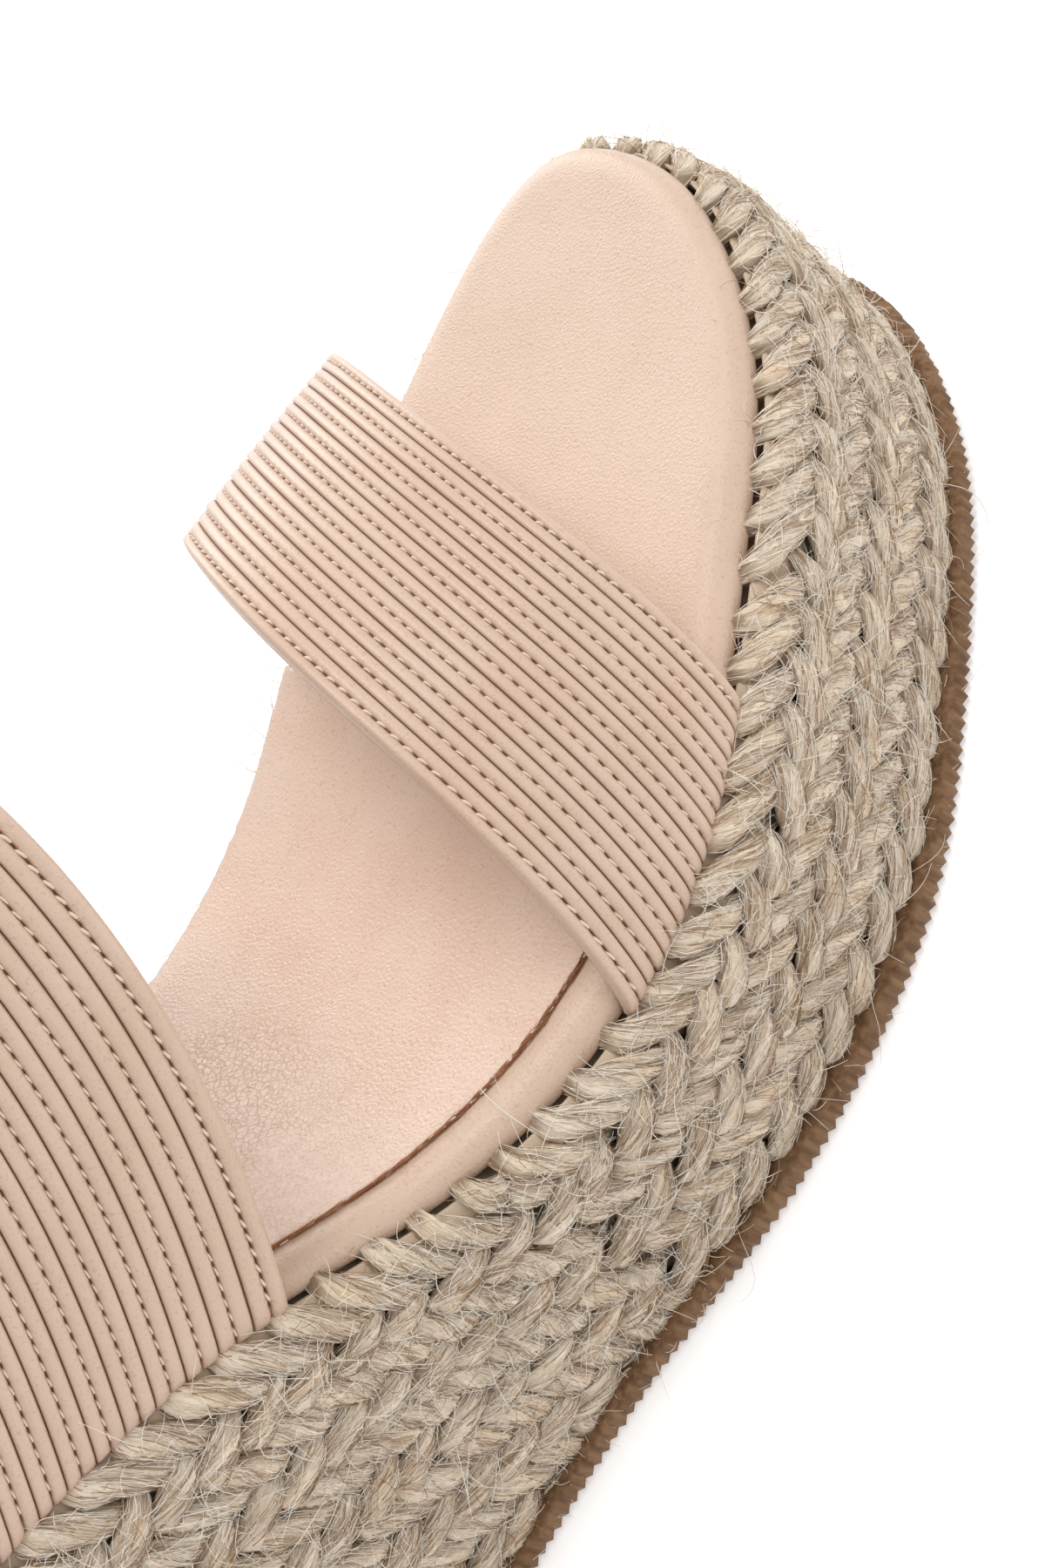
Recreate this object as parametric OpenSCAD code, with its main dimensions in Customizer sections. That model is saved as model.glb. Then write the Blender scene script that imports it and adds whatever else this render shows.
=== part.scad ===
// Two-band platform wedge sandal, right foot, with a plaited jute wall.
// +X lateral side, +Y toe, +Z up, ground at Z = 0, origin under mid-length of the footbed.

/* [Footbed] */
// Length of the footbed from heel to toe
footbed_length = 248; // [200:1:300]
// Widening of the whole plan shape
width_scale = 1; // [0.85:0.01:1.2]
// Footbed height at the heel
heel_height = 86; // [50:1:110]
// Footbed height at the lowest point of the ball
ball_height = 40; // [25:1:60]
// Rise of the outsole under the toe
toe_spring = 2; // [0:0.5:12]

/* [Wall] */
// Thickness of the outsole
outsole_thickness = 3; // [2:0.1:8]
// Reach of the pinked outsole edge beyond the footbed
outsole_reach = 8.2; // [5:0.1:12]
// Distance between two pinked teeth
tooth_pitch = 2; // [1.8:0.1:4]
// Depth of the pinked teeth
tooth_depth = 0.8; // [0.3:0.05:1.5]
// Height of one plaited jute row
braid_pitch = 12.8; // [8:0.1:16]
// Thickness of the top plaited jute row
braid_thickness = 4.7; // [3:0.1:6]
// Growth in thickness of the jute down to the outsole
braid_flare = 1.7; // [0:0.1:3]

/* [Straps] */
// Height of the front strap's front edge above its base
front_rise_toe = 30; // [20:0.5:45]
// Height of the front strap's rear edge above its base
front_rise_back = 43; // [30:0.5:60]
// Height of the rear strap's front edge above its base
rear_rise_toe = 64; // [35:0.5:75]
// Height of the rear strap's rear edge above its base
rear_rise_back = 68; // [40:0.5:80]
// Number of folded ribs on the front strap
front_ribs = 20; // [8:1:30]
// Number of folded ribs on the rear strap
rear_ribs = 24; // [8:1:34]
// Height of a folded rib
rib_height = 0.9; // [0.3:0.1:1.5]

/* [Node] */
// Sub-part to draw

/* [Hidden] */

gap = 0.1;
half = footbed_length / 2;

// Heights down from the footbed's top face
rim_drop = 5;
cover_thickness = 0.9;
cover_drop = 5.5;
board_thickness = 1.4;
tuck_drop = 6.75;
tuck_reach = 8.5;
core_drop = 6.85;
core_reach = 0.6;
braid_reach = 0.8;
row_tuck = 1.2;
row_count = 6;
sole_top = outsole_thickness + gap;

// Plan shape: distance outwards from the centre line at stations from heel to toe
stations = [8, 26, 58, 93, 129, 162, 194, 222, 241.5];
lateral = [17.5, 27, 30, 36.8, 47.6, 49.8, 40.5, 27.5, 8];
medial = [17, 27.3, 29.2, 30.5, 34.7, 38, 38.5, 35.5, 27];
toe_tip = -13.8;
unit = footbed_length / 248;

controls = concat(
  [[0.5, -half]],
  [for (i = [0:8]) [lateral[i] * width_scale, stations[i] * unit - half]],
  [[toe_tip * width_scale, half]],
  [for (i = [8:-1:0]) [-medial[i] * width_scale, stations[i] * unit - half]]
);
control_count = len(controls);
steps = 3;
ring_count = control_count * steps;

function mix(a, b, u) = a + (b - a) * u;
function unit_of(v) = v / norm(v);
function spline(a, b, c, d, u) =
  b + u * 0.5 * (c - a + u * (2 * a - 5 * b + 4 * c - d + u * (3 * (b - c) + d - a)));
function control(i) = controls[(i + control_count) % control_count];
function plan(u) =
  let (k = floor(u))
  spline(control(k - 1), control(k), control(k + 1), control(k + 2), u - k);
function plan_normal(u) =
  let (t = unit_of(plan(u + 0.02) - plan(u + control_count - 0.02)))
  [t.y, -t.x];
function edge_point(u, reach) = plan(u) + plan_normal(u) * reach;
function ring(reach) = [for (i = [0:ring_count - 1]) edge_point(i / steps, reach)];

// Footbed height along the shoe
height_at = [
  [-half, heel_height], [-half + 43 * unit, heel_height - 7], [-half + 78 * unit, heel_height - 20],
  [-half + 108 * unit, ball_height + 6.4], [-half + 138 * unit, ball_height],
  [-half + 173 * unit, ball_height + 3.5], [-half + 213 * unit, ball_height + 5],
  [half, ball_height + 10]
];
last_height = len(height_at) - 1;
function tangent(i) =
  let (a = height_at[max(i - 1, 0)], b = height_at[min(i + 1, last_height)])
  (b[1] - a[1]) / (b[0] - a[0]);
function span_at(y, i = 0) = i >= last_height - 1 || y < height_at[i + 1][0] ? i : span_at(y, i + 1);
function footbed(y) =
  let (
    i = span_at(y),
    a = height_at[i],
    b = height_at[i + 1],
    w = b[0] - a[0],
    u = (y - a[0]) / w
  )
  (1 + 2 * u) * (1 - u) * (1 - u) * a[1] + u * (1 - u) * (1 - u) * w * tangent(i)
  + u * u * (3 - 2 * u) * b[1] + u * u * (u - 1) * w * tangent(i + 1);
function spring(y) = toe_spring * pow(max(0, (y - half + 75 * unit) / (75 * unit)), 2);
function wall(y) = footbed(y) - rim_drop - sole_top - spring(y);
function row_pitch(y) =
  let (tall = wall(y) + row_tuck)
  y > -half + 109 * unit || tall < 3 * braid_pitch ? tall / 3 : max(braid_pitch, tall / row_count);
function row_drop(y, row) = max(0, row * row_pitch(y) - row_tuck);

function lift(points, drop) = [for (p = points) [p.x, p.y, footbed(p.y) - drop]];
function ground(points, z) = [for (p = points) [p.x, p.y, z + spring(p.y)]];

// Closed surface through rings listed from the top down, with both ends capped
function join_rings(n, m) = [
  for (r = [0:m - 2], j = [0:n - 1])
    let (a = r * n + j, b = r * n + (j + 1) % n, c = b + n, d = a + n)
    each [[a, b, c], [a, c, d]]
];
function cap(n) = [
  for (i = [0:n / 2 - 1])
    each [
      [i, i + 1, n - i - 1],
      if (i > 0 && i < n / 2 - 1) [i, n - i - 1, n - i],
      if (i == n / 2 - 1) [i, i + 1, n - i],
    ]
];
function good(t) = t[0] != t[1] && t[1] != t[2] && t[2] != t[0];
function flip(faces) = [for (f = faces) [f[2], f[1], f[0]]];
function shift(faces, k) = [for (f = faces) [f[0] + k, f[1] + k, f[2] + k]];

module stack(rings) {
  n = len(rings[0]);
  m = len(rings);
  tri = [for (f = cap(n)) if (good(f)) f];
  polyhedron(
    points = [for (r = rings) each r],
    faces = concat(join_rings(n, m), flip(tri), shift(tri, (m - 1) * n)),
    convexity = 8
  );
}

// End cap of a thin section whose first top + 1 points are one face and the rest the other
function zip_cap(n, top) =
  let (under = n - top - 2)
  concat(
    [for (j = [0:top - 1]) [j, j + 1, n - 1 - floor(j * under / top)]],
    [for (k = [0:under - 1]) [ceil((k + 1) * top / under), n - 2 - k, n - 1 - k]]
  );

// Sweep of one section along a path; sections run clockwise seen along the path
module sweep(sections, closed, top = 1) {
  n = len(sections[0]);
  m = len(sections);
  last = closed ? m - 1 : m - 2;
  sides = [
    for (r = [0:last], j = [0:n - 1])
      let (
        a = r * n + j,
        b = r * n + (j + 1) % n,
        c = (r + 1) % m * n + (j + 1) % n,
        e = (r + 1) % m * n + j
      )
      each [[a, e, c], [a, c, b]]
  ];
  ends = closed ? [] : top > 1 ? zip_cap(n, top) : [for (j = [1:n - 2]) [0, j, j + 1]];
  polyhedron(
    points = [for (s = sections) each s],
    faces = concat(sides, ends, flip(shift(ends, (m - 1) * n))),
    convexity = 8
  );
}

module slab(reach_top, drop_top, reach_bottom, drop_bottom) {
  stack([lift(ring(reach_top), drop_top), lift(ring(reach_bottom), drop_bottom)]);
}

// Outsole with a pinked edge, following the toe spring
plan_steps = 4 * control_count;
plan_points = [for (i = [0:plan_steps]) edge_point(i * control_count / plan_steps, outsole_reach)];
function run(i) = i == 0 ? 0 : run(i - 1) + norm(plan_points[i] - plan_points[i - 1]);
runs = [for (i = [0:plan_steps]) [run(i), i * control_count / plan_steps]];
teeth = 2 * round(run(plan_steps) / tooth_pitch / 2);
tooth_run = run(plan_steps) / teeth / 2;
function pinked() = [
  for (i = [0:2 * teeth - 1])
    edge_point(lookup(i * tooth_run, runs), outsole_reach - (i % 2) * tooth_depth)
];
function inner_edge() = [for (i = [0:2 * teeth - 1]) edge_point(lookup(i * tooth_run, runs), outsole_reach - 3)];

module outsole() {
  color("#8a6a4c")
    stack([
      ground(inner_edge(), outsole_thickness),
      ground(pinked(), outsole_thickness),
      ground(pinked(), 0),
      ground(inner_edge(), 0)
    ]);
}

module wedge_core() {
  color("#d8cdb8")
    stack([
      lift(ring(core_reach - 0.4), core_drop),
      ground(ring(core_reach), sole_top)
    ]);
}

// Plaited rows: section as [share of thickness, share of height]
braid_section = [[0, 0.05], [0.5, 0], [0.88, 0.16], [1, 0.5], [0.88, 0.84], [0.5, 1], [0, 0.95]];
top_section = [[0.16, 0.2], [0.55, 0], [0.88, 0.14], [1, 0.5], [0.88, 0.84], [0.5, 1], [0, 0.95]];
function braid_at(u, row, section) =
  let (
    p = plan(u),
    q = plan_normal(u),
    head = footbed(p.y) - rim_drop - gap,
    top = head - row_drop(p.y, row),
    low = max(sole_top + spring(p.y), head - row_drop(p.y, row + 1) + 2 * gap)
  )
  [
    for (s = section)
      let (
        z = mix(top, low, s[1]),
        flare = braid_flare * (head - z) / wall(p.y),
        e = p + q * (braid_reach + s[0] * (braid_thickness + flare))
      )
      [e.x, e.y, z]
  ];
function fits(u, row) = let (y = plan(u).y) wall(y) > row_drop(y, row) + 2.4;
function row_end(row, i = 0) = fits((i + 1) / steps, row) && i < ring_count / 2 - 1 ? row_end(row, i + 1) : i;

module braid(row) {
  color("#a8957c")
    if (row < 3)
      sweep(
        [for (i = [0:ring_count - 1]) braid_at(i / steps, row, row == 0 ? top_section : braid_section)],
        true
      );
    else
      sweep(
        [for (i = [-row_end(row):row_end(row)]) braid_at(i / steps + control_count, row, braid_section)],
        false
      );
}

// Footbed layers
module bottom_filler() {
  color("#b9a58c") slab(-10.6, cover_drop - cover_thickness + gap, -10.6, core_drop - gap);
}

module insole_board() {
  color("#c9b08a") slab(-1.1, 3.15, -1.8, 3.15 + board_thickness - gap);
}

module footbed_foam() {
  color("#efe6da")
    stack([lift(ring(-4.2), 1), lift(ring(-1.8), 1.5), lift(ring(-1.1), 3.05)]);
}

cover_rings = [
  [-4, 0], [-1.7, 0.5], [-0.4, 1.7], [0, 3.1], [-0.35, 4.5], [-1.2, 5.3], [-8, 5.5],
  [-8, 4.7], [-1.7, 4.6], [-0.95, 3.1], [-1.6, 1.35], [-4.1, 0.9]
];
module footbed_cover() {
  color("#d9bfa6") stack([for (r = cover_rings) lift(ring(r[0]), r[1])]);
}

// Sock lining, from under the front strap back to the heel
sock_inset = 5.5;
sock_inset_medial = 2.5;
sock_front = 40 * unit;
sock_thickness = 0.7;
sock_half = 25;
function side_table(reach, sign) =
  [for (i = [0:ring_count / 2]) let (p = edge_point(sign * i / steps + control_count, reach)) [p.y, p.x]];
function sock_ring(inset) =
  let (
    right = side_table(-inset, 1),
    left = side_table(sock_inset - sock_inset_medial - inset, -1),
    start = -half + inset,
    stop = sock_front - inset + sock_inset,
    rows = [for (k = [1:sock_half - 1]) mix(start, stop, pow(k / (sock_half - 1), 1.7))]
  )
  concat(
    [[0.5, start]],
    [for (y = rows) [lookup(y, right), y]],
    [[(lookup(stop, right) + lookup(stop, left)) / 2, stop + 3]],
    [for (k = [sock_half - 2:-1:0]) [lookup(rows[k], left), rows[k]]]
  );
module sock_lining() {
  color("#e2c7b4")
    stack([
      lift(sock_ring(sock_inset), -sock_thickness - 0.05),
      lift(sock_ring(sock_inset), -0.05)
    ]);
}

thread_width = 0.4;
module sock_thread() {
  inner = sock_ring(sock_inset + 1.6);
  outer = sock_ring(sock_inset + 1.6 - thread_width);
  low = -sock_thickness - 0.08;
  color("#efe4d6")
    sweep(
      [
        for (i = [0:len(inner) - 1])
          let (a = inner[i], b = outer[i])
          [
            [a.x, a.y, footbed(a.y) - low],
            [a.x, a.y, footbed(a.y) - low + thread_width],
            [b.x, b.y, footbed(b.y) - low + thread_width],
            [b.x, b.y, footbed(b.y) - low]
          ]
      ],
      true
    );
}

// Straps: [base y toe edge, base y back edge, rise toe, rise back, lean toe, lean back, slant, skew, bias]
front_shape = [49.5 * unit, 11 * unit, front_rise_toe, front_rise_back, 4.5, 9, 0.36, 0.08, 0];
rear_shape = [-34.7 * unit, -80 * unit, rear_rise_toe, rear_rise_back, 38, 43, 0.1, -0.3, 0.06];
lateral_table = side_table(0, 1);
medial_table = side_table(0, -1);
strap_stand = 0.35;
lining_thickness = 0.8;
tape_thickness = 0.3;
tape_base = lining_thickness + gap;
leather_base = tape_base + tape_thickness + gap;
leather_thickness = 0.8;
arch_power = 0.93;
arch_steps = 22;

// Inner face of a strap; a = angle over the foot, v = 0 at the toe edge, 1 at the back edge
function arch(shape, a, v) =
  let (
    y_base = mix(shape[0], shape[1], v),
    x_lat = lookup(y_base, lateral_table) + strap_stand,
    y_far = y_base + shape[6] * (x_lat + 34),
    x_med = lookup(y_far, medial_table) - strap_stand,
    z_base = mix(footbed(y_base), footbed(y_far), (1 - cos(a)) / 2) - rim_drop + 0.4,
    rise = mix(shape[2], shape[3], v) - leather_base - leather_thickness,
    c = sign(cos(a)) * pow(abs(cos(a)), arch_power),
    s = pow(max(0, sin(a)), arch_power),
    x = (x_lat + x_med) / 2 + c * (x_lat - x_med) / 2
  )
  [
    x,
    y_base + shape[6] * (x_lat - x) + mix(shape[4], shape[5], v) * s * (2 - s) * (1 + shape[8] * c),
    z_base + rise * s * (1 - shape[7] * c)
  ];
function arch_normal(shape, a, v) =
  let (
    da = arch(shape, min(a + 1, 180), v) - arch(shape, max(a - 1, 0), v),
    dv = arch(shape, a, min(v + 0.02, 1)) - arch(shape, a, max(v - 0.02, 0))
  )
  unit_of(cross(da, dv));
function strap_point(shape, a, v, t) = arch(shape, a, v) + arch_normal(shape, a, v) * t;

// Margin turned in under the footbed; side is 1 lateral, -1 medial
function margin_point(shape, side, v, reach, drop) =
  let (
    p = arch(shape, side > 0 ? 0 : 180, v),
    near = lookup(p.y, side > 0 ? lateral_table : medial_table)
  )
  [near + side * reach, p.y, footbed(p.y) - drop];

function across(shape, side, vs, reach, drop) = [for (v = vs) margin_point(shape, side, v, reach, drop)];
function ribs(count) = [for (i = [2 * count:-1:0]) i / (2 * count)];
function rib(i) = i % 2;
inner_steps = 8;
flat = [for (i = [inner_steps:-1:0]) i / inner_steps];

// One layer of a strap: vs across the outer face, low and high from the strap's inner face
module layer(shape, vs, low, high, swell, margin_low, margin_high, bend_low, bend_high) {
  n = len(vs) - 1;
  under = [for (i = [0:inner_steps]) i / inner_steps];
  angles = [for (i = [0:arch_steps]) 180 * i / arch_steps];
  function fade(a) = min(1, sin(a) * 7);
  function body(a) = concat(
    [for (i = [0:n]) strap_point(shape, a, vs[i], high + swell * rib(i) * fade(a))],
    [for (v = under) strap_point(shape, a, v, low)]
  );
  function tuck(side, reach_high, drop_high, reach_low, drop_low) = concat(
    across(shape, side, vs, reach_high, drop_high),
    across(shape, side, under, reach_low, drop_low)
  );
  sweep(
    concat(
      [tuck(1, -tuck_reach, margin_high, -tuck_reach, margin_low)],
      [tuck(1, bend_high, margin_high, bend_low, margin_low)],
      [for (a = angles) body(a)],
      [tuck(-1, bend_high, margin_high, bend_low, margin_low)],
      [tuck(-1, -tuck_reach, margin_high, -tuck_reach, margin_low)]
    ),
    false,
    n
  );
}

module strap_leather(shape, count) {
  color("#cfb39a")
    layer(
      shape, ribs(count), leather_base, leather_base + leather_thickness, rib_height,
      tuck_drop - 0.5, tuck_drop, 0.95, 1.2
    );
}
module strap_lining(shape) {
  color("#e0c9b6")
    layer(shape, flat, 0, lining_thickness, 0, cover_drop + gap, tuck_drop - 0.6, 0.1, 0.75);
}
module strap_tape(shape) {
  color("#f2ede4")
    sweep(
      [
        for (i = [1:arch_steps - 1])
          let (a = 180 * i / arch_steps, k = inner_steps - 1)
          concat(
            [for (j = [k:-1:1]) strap_point(shape, a, flat[inner_steps - j], tape_base + tape_thickness)],
            [for (j = [1:k]) strap_point(shape, a, flat[inner_steps - j], tape_base)]
          )
      ],
      false,
      inner_steps - 2
    );
}

// Stitching rows lie in the valleys beside every second rib
module strap_thread(shape, count) {
  high = leather_base + leather_thickness;
  color("#e9dccb")
    for (v = [1.0 / count, 0.5, 1 - 1.0 / count])
      sweep(
        [
          for (i = [2:arch_steps - 2])
            let (a = 180 * i / arch_steps, w = 0.2 / count)
            [
              strap_point(shape, a, v + w, high + rib_height * 0.45),
              strap_point(shape, a, v + w, high + rib_height * 0.75),
              strap_point(shape, a, v - w, high + rib_height * 0.75),
              strap_point(shape, a, v - w, high + rib_height * 0.45)
            ]
        ],
        false
      );
}

outsole();
wedge_core();
braid(0);  // braid_1
braid(1);  // braid_2
braid(2);  // braid_3
braid(3);  // braid_4
braid(4);  // braid_5
braid(5);  // braid_6
bottom_filler();
insole_board();
footbed_foam();
footbed_cover();
sock_lining();
sock_thread();
strap_leather(front_shape, front_ribs);  // front_strap
strap_tape(front_shape);  // front_tape
strap_lining(front_shape);  // front_lining
strap_thread(front_shape, front_ribs);  // front_thread
strap_leather(rear_shape, rear_ribs);  // rear_strap
strap_tape(rear_shape);  // rear_tape
strap_lining(rear_shape);  // rear_lining
strap_thread(rear_shape, rear_ribs);  // rear_thread
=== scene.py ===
"""Looks of a two-band platform wedge sandal: plaited jute wall, ribbed straps, padded footbed."""
import math

import bmesh
import bpy
import numpy as np
from mathutils import Matrix, Vector


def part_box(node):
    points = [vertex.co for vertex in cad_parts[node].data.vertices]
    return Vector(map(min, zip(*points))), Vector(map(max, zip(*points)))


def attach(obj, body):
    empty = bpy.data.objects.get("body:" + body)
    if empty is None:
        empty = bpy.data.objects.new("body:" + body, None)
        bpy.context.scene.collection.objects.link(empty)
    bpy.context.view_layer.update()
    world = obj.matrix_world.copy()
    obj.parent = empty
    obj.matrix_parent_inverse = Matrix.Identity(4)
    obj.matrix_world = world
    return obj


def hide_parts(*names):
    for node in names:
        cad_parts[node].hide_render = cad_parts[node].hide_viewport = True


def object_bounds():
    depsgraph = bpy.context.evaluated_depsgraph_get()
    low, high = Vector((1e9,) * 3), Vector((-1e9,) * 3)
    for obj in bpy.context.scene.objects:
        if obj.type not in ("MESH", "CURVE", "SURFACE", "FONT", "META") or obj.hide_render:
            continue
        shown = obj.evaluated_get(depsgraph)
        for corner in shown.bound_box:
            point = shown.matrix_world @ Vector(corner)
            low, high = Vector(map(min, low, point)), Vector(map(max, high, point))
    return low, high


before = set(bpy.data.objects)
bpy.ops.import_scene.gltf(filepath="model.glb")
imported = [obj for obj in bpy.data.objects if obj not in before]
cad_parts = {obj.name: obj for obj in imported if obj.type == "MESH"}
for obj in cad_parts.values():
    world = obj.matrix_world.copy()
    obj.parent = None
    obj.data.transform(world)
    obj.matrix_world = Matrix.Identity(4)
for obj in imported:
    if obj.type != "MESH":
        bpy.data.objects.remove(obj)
cad_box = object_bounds()
rng = np.random.default_rng(11)

MM = 0.001
TURN = 2 * math.pi

# ---------------------------------------------------------------- shape of the last, in mm
low, high = (np.array(c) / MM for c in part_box("footbed_cover"))
LENGTH = high[1] - low[1]
HALF = LENGTH / 2
UNIT = LENGTH / 248
SOLE = 3.0
SOLE_TOP = SOLE + 0.1
SOLE_REACH = 8.2
RIM_DROP = 5.0
SPRING = 2.0
BRAID_PITCH = 12.8
ROW_TUCK = 1.2
ROW_COUNT = 6
SOCK_INSET = 5.5
SOCK_INSET_MEDIAL = 2.5
SOCK_FRONT = 40 * UNIT

STATIONS = np.array([8, 26, 58, 93, 129, 162, 194, 222, 241.5]) * UNIT - HALF
LATERAL = np.array([17.5, 27, 30, 36.8, 47.6, 49.8, 40.5, 27.5, 8])
MEDIAL = np.array([17, 27.3, 29.2, 30.5, 34.7, 38, 38.5, 35.5, 27])
CONTROLS = np.array(
    [[0.5, -HALF]]
    + list(zip(LATERAL, STATIONS))
    + [[-13.8, HALF]]
    + list(zip(-MEDIAL[::-1], STATIONS[::-1]))
)
TURNS = len(CONTROLS)

HEIGHT_Y = np.array([0, 43, 78, 108, 138, 173, 213, 248]) * UNIT - HALF
HEIGHT_Z = np.array([86, 79, 66, 46.4, 40, 43.5, 45, 50])


def mix(a, b, u):
    return a + (b - a) * u


def smooth(a, b, x):
    t = np.clip((x - a) / (b - a), 0, 1)
    return t * t * (3 - 2 * t)


def unit(v):
    return v / np.maximum(np.linalg.norm(v, axis=-1, keepdims=True), 1e-9)


def plan(u):
    u = np.asarray(u, float)
    k = np.floor(u).astype(int)
    t = (u - k)[..., None]
    a, b, c, d = (CONTROLS[(k + i) % TURNS] for i in (-1, 0, 1, 2))
    return b + t * 0.5 * (c - a + t * (2 * a - 5 * b + 4 * c - d + t * (3 * (b - c) + d - a)))


def plan_normal(u):
    t = unit(plan(np.asarray(u) + 0.02) - plan(np.asarray(u) - 0.02))
    return np.stack([t[..., 1], -t[..., 0]], -1)


def edge(u, reach):
    return plan(u) + plan_normal(u) * np.asarray(reach)[..., None]


def slopes():
    i = np.arange(len(HEIGHT_Y))
    a, b = np.maximum(i - 1, 0), np.minimum(i + 1, len(i) - 1)
    return (HEIGHT_Z[b] - HEIGHT_Z[a]) / (HEIGHT_Y[b] - HEIGHT_Y[a])


HEIGHT_SLOPE = slopes()


def footbed(y):
    y = np.asarray(y, float)
    i = np.clip(np.searchsorted(HEIGHT_Y, y) - 1, 0, len(HEIGHT_Y) - 2)
    w = HEIGHT_Y[i + 1] - HEIGHT_Y[i]
    u = (y - HEIGHT_Y[i]) / w
    return (
        (1 + 2 * u) * (1 - u) ** 2 * HEIGHT_Z[i]
        + u * (1 - u) ** 2 * w * HEIGHT_SLOPE[i]
        + u * u * (3 - 2 * u) * HEIGHT_Z[i + 1]
        + u * u * (u - 1) * w * HEIGHT_SLOPE[i + 1]
    )


def spring(y):
    return SPRING * np.maximum(0, (y - HALF + 75 * UNIT) / (75 * UNIT)) ** 2


def wall(y):
    return footbed(y) - RIM_DROP - SOLE_TOP - spring(y)


def row_pitch(y):
    tall = wall(y) + ROW_TUCK
    ahead = (y > -HALF + 109 * UNIT) | (tall < 3 * BRAID_PITCH)
    return np.where(ahead, tall / 3, np.maximum(BRAID_PITCH, tall / ROW_COUNT))


def row_drop(y, row):
    return np.maximum(0, row * row_pitch(y) - ROW_TUCK)


def side_table(sign, reach=0.0):
    """Outline of one side as (y, x), from heel to toe."""
    u = np.linspace(0, TURNS / 2, 400) * sign
    p = edge(u, np.full(u.shape, reach))
    order = np.argsort(p[:, 1])
    return p[order, 1], p[order, 0]


LATERAL_EDGE = side_table(1)
MEDIAL_EDGE = side_table(-1)


def dish(x, y):
    """Depth of the footbed's hollow, none at the rim."""
    right, left = np.interp(y, *LATERAL_EDGE), np.interp(y, *MEDIAL_EDGE)
    rho = np.clip(np.abs(x - (right + left) / 2) / np.maximum((right - left) / 2 - 4, 1), 0, 1)
    depth = np.interp(y, [-HALF, -HALF + 40, -20, 60, HALF], [0.8, 1.6, 1.5, 0.9, 0.4])
    ends = smooth(HALF, HALF - 14, y) * smooth(-HALF, -HALF + 18, y)
    return depth * (1 - rho**2) ** 1.3 * ends


# ---------------------------------------------------------------- meshes
def grid_faces(rows, cols, wrap_rows=False, wrap_cols=False):
    r = np.arange(rows if wrap_rows else rows - 1)[:, None]
    c = np.arange(cols if wrap_cols else cols - 1)[None, :]
    r2, c2 = (r + 1) % rows, (c + 1) % cols
    return np.stack([r * cols + c, r * cols + c2, r2 * cols + c2, r2 * cols + c], -1).reshape(-1, 4)


def face_outwards(mesh):
    shell = bmesh.new()
    shell.from_mesh(mesh)
    bmesh.ops.recalc_face_normals(shell, faces=shell.faces)
    shell.to_mesh(mesh)
    shell.free()


def mesh_piece(name, points, faces, material, nodes=(), attrs=None, uv=None, closed=False):
    """A mesh object from mm points and same-sized faces, riding on a body."""
    mesh = bpy.data.meshes.new(name)
    faces = [np.asarray(f) for f in (faces if isinstance(faces, list) else [faces])]
    sizes = np.concatenate([np.full(len(f), f.shape[1]) for f in faces])
    corners = np.concatenate([f.ravel() for f in faces]).astype(np.int32)
    mesh.vertices.add(len(points))
    mesh.vertices.foreach_set("co", (np.asarray(points) * MM).astype(np.float32).ravel())
    mesh.loops.add(len(corners))
    mesh.loops.foreach_set("vertex_index", corners)
    mesh.polygons.add(len(sizes))
    mesh.polygons.foreach_set("loop_start", np.concatenate([[0], np.cumsum(sizes)[:-1]]).astype(np.int32))
    mesh.polygons.foreach_set("use_smooth", np.ones(len(sizes), bool))
    for key, values in (attrs or {}).items():
        layer = mesh.attributes.new(key, "FLOAT", "POINT")
        layer.data.foreach_set("value", np.asarray(values, np.float32).ravel())
    if uv is not None:
        layer = mesh.uv_layers.new(name="along")
        layer.data.foreach_set("uv", np.asarray(uv, np.float32)[corners].ravel())
    mesh.update(calc_edges=True)
    mesh.validate()
    if closed:
        face_outwards(mesh)
    piece = bpy.data.objects.new(name, mesh)
    bpy.context.scene.collection.objects.link(piece)
    mesh.materials.append(material)
    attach(piece, "root")
    if nodes:
        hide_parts(*nodes)
    return piece


def tubes(paths, radius, sides=3):
    """Closed thin tubes round many equal-length paths (count, points, 3)."""
    count, steps, _ = paths.shape
    tangent = unit(np.gradient(paths, axis=1))
    ref = np.where(np.abs(tangent[..., 2:3]) > 0.85, [[[1.0, 0, 0]]], [[[0, 0, 1.0]]])
    a = unit(np.cross(tangent, ref))
    b = np.cross(tangent, a)
    turn = np.arange(sides) / sides * TURN
    radius = np.broadcast_to(radius, (count, steps))[..., None, None]
    ring = a[:, :, None] * np.cos(turn)[:, None] + b[:, :, None] * np.sin(turn)[:, None]
    points = (paths[:, :, None] + ring * radius).reshape(-1, 3)
    body = grid_faces(steps, sides, wrap_cols=True)
    start = (np.arange(count) * steps * sides)[:, None, None]
    walls = (body[None] + start).reshape(-1, 4)
    lid = np.arange(sides)[None]
    caps = np.concatenate([lid[:, ::-1], lid + (steps - 1) * sides])
    caps = (caps[None] + start).reshape(-1, sides)
    return points, [walls, caps]


# ---------------------------------------------------------------- materials
def node_of(tree, kind, **values):
    node = tree.nodes.new(kind)
    for key, value in values.items():
        setattr(node, key, value)
    return node


def material(name, color, roughness=0.6, **shader):
    mat = bpy.data.materials.new(name)
    mat.use_nodes = True
    bsdf = mat.node_tree.nodes["Principled BSDF"]
    bsdf.inputs["Base Color"].default_value = (*color, 1)
    bsdf.inputs["Roughness"].default_value = roughness
    for key, value in shader.items():
        bsdf.inputs[key.replace("_", " ")].default_value = value
    return mat


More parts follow.
